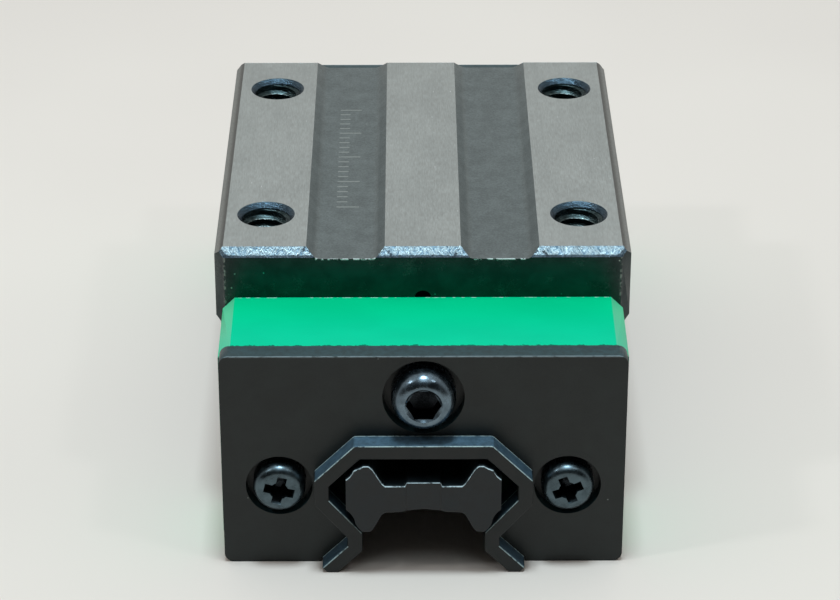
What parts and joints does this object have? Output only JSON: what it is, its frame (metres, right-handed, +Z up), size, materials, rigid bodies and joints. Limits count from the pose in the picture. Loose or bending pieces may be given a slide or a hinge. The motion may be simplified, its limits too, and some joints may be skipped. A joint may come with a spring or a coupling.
{
  "type": "linear guide carriage",
  "caption": "Square-type linear guide carriage: steel block on recirculating ball rows, green end caps, black end seals and a plastic dummy rail.",
  "frame": {"origin": "under the middle of the carriage, at the height of the lower edges of its end seals", "axes": "+Z up out of the mounting face, +Y along the travel, +X across it"},
  "size_m": [0.034, 0.0626, 0.0237],
  "materials": {
    "steel_block": "ground lands, dark oxide grooves",
    "green_plastic": "satin moulded",
    "guide_plastic": "matte moulded",
    "black_plate": "satin, fine grained",
    "seal_rubber": "matte",
    "screw_steel": "dark zinc",
    "plug_steel": "black oxide",
    "dummy_plastic": "matte moulded",
    "ball_steel": "polished"
  },
  "bodies": {
    "carriage": {"block": "steel_block", "end_cap_front": "green_plastic", "end_cap_rear": "green_plastic", "turn_guides_front": "guide_plastic", "turn_guides_rear": "guide_plastic", "seal_plate_front": "black_plate", "seal_plate_rear": "black_plate", "seal_lip_front": "seal_rubber", "seal_lip_rear": "seal_rubber", "cap_screw_front_left": "screw_steel", "cap_screw_front_right": "screw_steel", "cap_screw_rear_left": "screw_steel", "cap_screw_rear_right": "screw_steel", "port_plug_front": "plug_steel", "port_plug_rear": "plug_steel", "bottom_seal_left": "seal_rubber", "bottom_seal_right": "seal_rubber", "retainer_top": "guide_plastic", "retainer_side_left": "guide_plastic", "retainer_side_right": "guide_plastic", "retainer_lower_left": "guide_plastic", "retainer_lower_right": "guide_plastic"},
    "shipping_rail": {"dummy_rail": "dummy_plastic"},
    "upper_left_loaded_balls": {"balls_upper_left_loaded": "ball_steel"},
    "upper_left_return_balls": {"balls_upper_left_return": "ball_steel"},
    "upper_left_turn_front_balls": {"balls_upper_left_turn_front": "ball_steel"},
    "upper_left_turn_rear_balls": {"balls_upper_left_turn_rear": "ball_steel"},
    "upper_right_loaded_balls": {"balls_upper_right_loaded": "ball_steel"},
    "upper_right_return_balls": {"balls_upper_right_return": "ball_steel"},
    "upper_right_turn_front_balls": {"balls_upper_right_turn_front": "ball_steel"},
    "upper_right_turn_rear_balls": {"balls_upper_right_turn_rear": "ball_steel"},
    "lower_left_loaded_balls": {"balls_lower_left_loaded": "ball_steel"},
    "lower_left_return_balls": {"balls_lower_left_return": "ball_steel"},
    "lower_left_turn_front_balls": {"balls_lower_left_turn_front": "ball_steel"},
    "lower_left_turn_rear_balls": {"balls_lower_left_turn_rear": "ball_steel"},
    "lower_right_loaded_balls": {"balls_lower_right_loaded": "ball_steel"},
    "lower_right_return_balls": {"balls_lower_right_return": "ball_steel"},
    "lower_right_turn_front_balls": {"balls_lower_right_turn_front": "ball_steel"},
    "lower_right_turn_rear_balls": {"balls_lower_right_turn_rear": "ball_steel"}
  },
  "joints": [
    {"name": "dummy_rail_slide", "type": "slide", "parent": "carriage", "child": "shipping_rail", "axis": [0, 1, 0], "range_m": [-0.064, 0.064]},
    {"name": "upper_left_loaded_run", "type": "slide", "parent": "carriage", "child": "upper_left_loaded_balls", "axis": [0, 1, 0], "range_m": [-0.00168, 0.00168]},
    {"name": "upper_left_return_run", "type": "slide", "parent": "carriage", "child": "upper_left_return_balls", "axis": [0, 1, 0], "range_m": [-0.00168, 0.00168]},
    {"name": "upper_left_turn_front_roll", "type": "hinge", "parent": "carriage", "child": "upper_left_turn_front_balls", "pos_m": [-0.00982, -0.0201, 0.01213], "axis": [0.5736, 0, 0.8192], "range_deg": [-30.02, 30.02]},
    {"name": "upper_left_turn_rear_roll", "type": "hinge", "parent": "carriage", "child": "upper_left_turn_rear_balls", "pos_m": [-0.00982, 0.0201, 0.01213], "axis": [0.5736, 0, 0.8192], "range_deg": [-30.02, 30.02]},
    {"name": "upper_right_loaded_run", "type": "slide", "parent": "carriage", "child": "upper_right_loaded_balls", "axis": [0, 1, 0], "range_m": [-0.00168, 0.00168]},
    {"name": "upper_right_return_run", "type": "slide", "parent": "carriage", "child": "upper_right_return_balls", "axis": [0, 1, 0], "range_m": [-0.00168, 0.00168]},
    {"name": "upper_right_turn_front_roll", "type": "hinge", "parent": "carriage", "child": "upper_right_turn_front_balls", "pos_m": [0.00982, -0.0201, 0.01213], "axis": [0.5736, 0, -0.8192], "range_deg": [-30.02, 30.02]},
    {"name": "upper_right_turn_rear_roll", "type": "hinge", "parent": "carriage", "child": "upper_right_turn_rear_balls", "pos_m": [0.00982, 0.0201, 0.01213], "axis": [0.5736, 0, -0.8192], "range_deg": [-30.02, 30.02]},
    {"name": "lower_left_loaded_run", "type": "slide", "parent": "carriage", "child": "lower_left_loaded_balls", "axis": [0, 1, 0], "range_m": [-0.00168, 0.00168]},
    {"name": "lower_left_return_run", "type": "slide", "parent": "carriage", "child": "lower_left_return_balls", "axis": [0, 1, 0], "range_m": [-0.00168, 0.00168]},
    {"name": "lower_left_turn_front_roll", "type": "hinge", "parent": "carriage", "child": "lower_left_turn_front_balls", "pos_m": [-0.01035, -0.0201, 0.00414], "axis": [-0.1736, 0, 0.9848], "range_deg": [-30.02, 30.02]},
    {"name": "lower_left_turn_rear_roll", "type": "hinge", "parent": "carriage", "child": "lower_left_turn_rear_balls", "pos_m": [-0.01035, 0.0201, 0.00414], "axis": [-0.1736, 0, 0.9848], "range_deg": [-30.02, 30.02]},
    {"name": "lower_right_loaded_run", "type": "slide", "parent": "carriage", "child": "lower_right_loaded_balls", "axis": [0, 1, 0], "range_m": [-0.00168, 0.00168]},
    {"name": "lower_right_return_run", "type": "slide", "parent": "carriage", "child": "lower_right_return_balls", "axis": [0, 1, 0], "range_m": [-0.00168, 0.00168]},
    {"name": "lower_right_turn_front_roll", "type": "hinge", "parent": "carriage", "child": "lower_right_turn_front_balls", "pos_m": [0.01035, -0.0201, 0.00414], "axis": [-0.1736, 0, -0.9848], "range_deg": [-30.02, 30.02]},
    {"name": "lower_right_turn_rear_roll", "type": "hinge", "parent": "carriage", "child": "lower_right_turn_rear_balls", "pos_m": [0.01035, 0.0201, 0.00414], "axis": [-0.1736, 0, -0.9848], "range_deg": [-30.02, 30.02]}
  ],
  "couplings": [
    {"joint": "upper_left_return_run", "follows": "upper_left_loaded_run", "ratio": -1},
    {"joint": "upper_left_turn_front_roll", "follows": "upper_left_loaded_run", "rad_per_m": 312.6},
    {"joint": "upper_left_turn_rear_roll", "follows": "upper_left_loaded_run", "rad_per_m": 312.6},
    {"joint": "upper_right_loaded_run", "follows": "upper_left_loaded_run", "ratio": 1},
    {"joint": "upper_right_return_run", "follows": "upper_left_loaded_run", "ratio": -1},
    {"joint": "upper_right_turn_front_roll", "follows": "upper_left_loaded_run", "rad_per_m": 312.6},
    {"joint": "upper_right_turn_rear_roll", "follows": "upper_left_loaded_run", "rad_per_m": 312.6},
    {"joint": "lower_left_loaded_run", "follows": "upper_left_loaded_run", "ratio": 1},
    {"joint": "lower_left_return_run", "follows": "upper_left_loaded_run", "ratio": -1},
    {"joint": "lower_left_turn_front_roll", "follows": "upper_left_loaded_run", "rad_per_m": 312.6},
    {"joint": "lower_left_turn_rear_roll", "follows": "upper_left_loaded_run", "rad_per_m": 312.6},
    {"joint": "lower_right_loaded_run", "follows": "upper_left_loaded_run", "ratio": 1},
    {"joint": "lower_right_return_run", "follows": "upper_left_loaded_run", "ratio": -1},
    {"joint": "lower_right_turn_front_roll", "follows": "upper_left_loaded_run", "rad_per_m": 312.6},
    {"joint": "lower_right_turn_rear_roll", "follows": "upper_left_loaded_run", "rad_per_m": 312.6}
  ]
}
